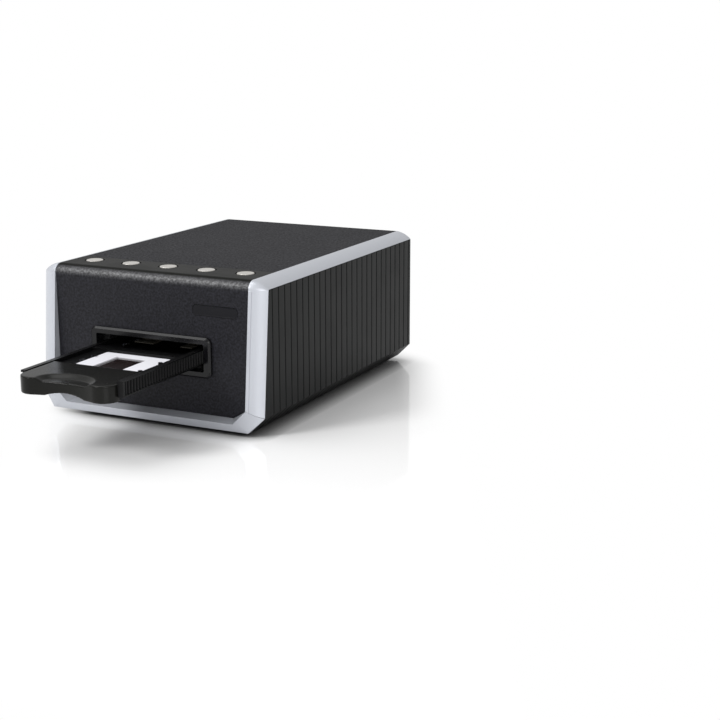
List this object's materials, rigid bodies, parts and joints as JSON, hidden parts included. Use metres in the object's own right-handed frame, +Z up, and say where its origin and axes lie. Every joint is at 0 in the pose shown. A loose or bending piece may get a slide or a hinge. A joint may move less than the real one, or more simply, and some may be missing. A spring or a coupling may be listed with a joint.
{
  "type": "film negative scanner",
  "caption": "Desktop film and slide scanner with a toothed slide holder driven through a front slot, silver frame and round top buttons.",
  "frame": {"origin": "on the desk, under the middle of the whole scanner with its holder part way out", "axes": "+X to the right seen from the front, +Y to the back, +Z up"},
  "size_m": [0.175, 0.3339, 0.1023],
  "materials": {
    "silver_shell": "satin metallic lacquer",
    "dark_shell": "fine matte grain",
    "charcoal_cover": "matte leather grain",
    "ribbed_side": "semi-matte, ribbed",
    "button_silver": "satin metallic",
    "badge_black": "semi-gloss, blank",
    "bezel_black": "semi-matte",
    "tray_black": "semi-matte",
    "grip_grey": "fine matte",
    "mount_white": "matte",
    "film_dark": "transparent dark film",
    "rubber": "matte",
    "steel": "plain",
    "brass": "plain",
    "acetal": "satin",
    "frame_black": "matte",
    "board_green": "solder mask",
    "chip_black": "moulded",
    "diffuser_white": "opal",
    "lamp_clear": "clear",
    "mirror": "front surface",
    "optical_glass": "clear",
    "aluminium": "plain"
  },
  "bodies": {
    "housing": {"right_trim": "silver_shell", "left_trim": "silver_shell", "front_sill": "silver_shell", "right_side_panel": "ribbed_side", "left_side_panel": "ribbed_side", "base_plate": "frame_black", "rubber_feet": "rubber", "base_screws": "steel", "top_cover": "charcoal_cover", "front_panel": "dark_shell", "badge_plate": "badge_black", "slot_bezel": "bezel_black", "button_board": "board_green", "button_switches": "chip_black", "rear_panel": "frame_black", "main_board": "board_green", "board_chips": "chip_black", "power_jack": "chip_black", "usb_port": "steel", "switch_body": "chip_black", "stepper_motor": "aluminium", "motor_bracket": "steel", "motor_screws": "steel", "shaft_bushes": "brass", "feed_deck": "frame_black", "deck_screws": "steel", "left_guide": "frame_black", "right_guide": "frame_black", "guide_bridge": "frame_black", "hold_down_springs": "steel", "lamp_housing": "frame_black", "light_diffuser": "diffuser_white", "led_board": "board_green", "led_lamps": "lamp_clear", "optics_bench": "aluminium", "fold_mirror": "mirror", "lens_block": "aluminium", "lens_barrel": "frame_black", "lens_elements": "optical_glass", "sensor_board": "board_green", "line_sensor": "chip_black"},
    "holder": {"holder_tray": "tray_black", "holder_grip": "grip_grey", "slide_clips": "tray_black", "slide_mount": "mount_white", "slide_film": "film_dark"},
    "feed_gear": {"feed_shaft": "steel", "feed_pinion": "acetal", "drive_gear": "acetal"},
    "motor_rotor": {"motor_shaft": "steel", "motor_pinion": "brass"},
    "power_rocker": {"switch_rocker": "chip_black"},
    "control_1": {"button_1": "button_silver"},
    "control_2": {"button_2": "button_silver"},
    "control_3": {"button_3": "button_silver"},
    "control_4": {"button_4": "button_silver"},
    "control_5": {"button_5": "button_silver"}
  },
  "joints": [
    {"name": "holder_feed", "type": "slide", "parent": "housing", "child": "holder", "axis": [0, 1, 0], "range_m": [-0.15, 0.08]},
    {"name": "feed_gear_turn", "type": "hinge", "parent": "housing", "child": "feed_gear", "pos_m": [0.045, -0.02745, 0.04], "axis": [0, 0, 1], "continuous": true},
    {"name": "motor_turn", "type": "hinge", "parent": "housing", "child": "motor_rotor", "pos_m": [0.0678, -0.02745, 0.03], "axis": [0, 0, 1], "continuous": true},
    {"name": "rocker_tilt", "type": "hinge", "parent": "housing", "child": "power_rocker", "pos_m": [0.068, 0.16155, 0.026], "axis": [1, 0, 0], "range_deg": [0, 16]},
    {"name": "button_1_press", "type": "slide", "parent": "housing", "child": "control_1", "axis": [0, 0, 1], "range_m": [-0.0012, 0], "stiffness_N_per_m": 300, "springref_m": 0.0008},
    {"name": "button_2_press", "type": "slide", "parent": "housing", "child": "control_2", "axis": [0, 0, 1], "range_m": [-0.0012, 0], "stiffness_N_per_m": 300, "springref_m": 0.0008},
    {"name": "button_3_press", "type": "slide", "parent": "housing", "child": "control_3", "axis": [0, 0, 1], "range_m": [-0.0012, 0], "stiffness_N_per_m": 300, "springref_m": 0.0008},
    {"name": "button_4_press", "type": "slide", "parent": "housing", "child": "control_4", "axis": [0, 0, 1], "range_m": [-0.0012, 0], "stiffness_N_per_m": 300, "springref_m": 0.0008},
    {"name": "button_5_press", "type": "slide", "parent": "housing", "child": "control_5", "axis": [0, 0, 1], "range_m": [-0.0012, 0], "stiffness_N_per_m": 300, "springref_m": 0.0008}
  ],
  "couplings": [
    {"joint": "feed_gear_turn", "follows": "holder_feed", "rad_per_m": -166.67},
    {"joint": "motor_turn", "follows": "holder_feed", "rad_per_m": 466.67}
  ]
}
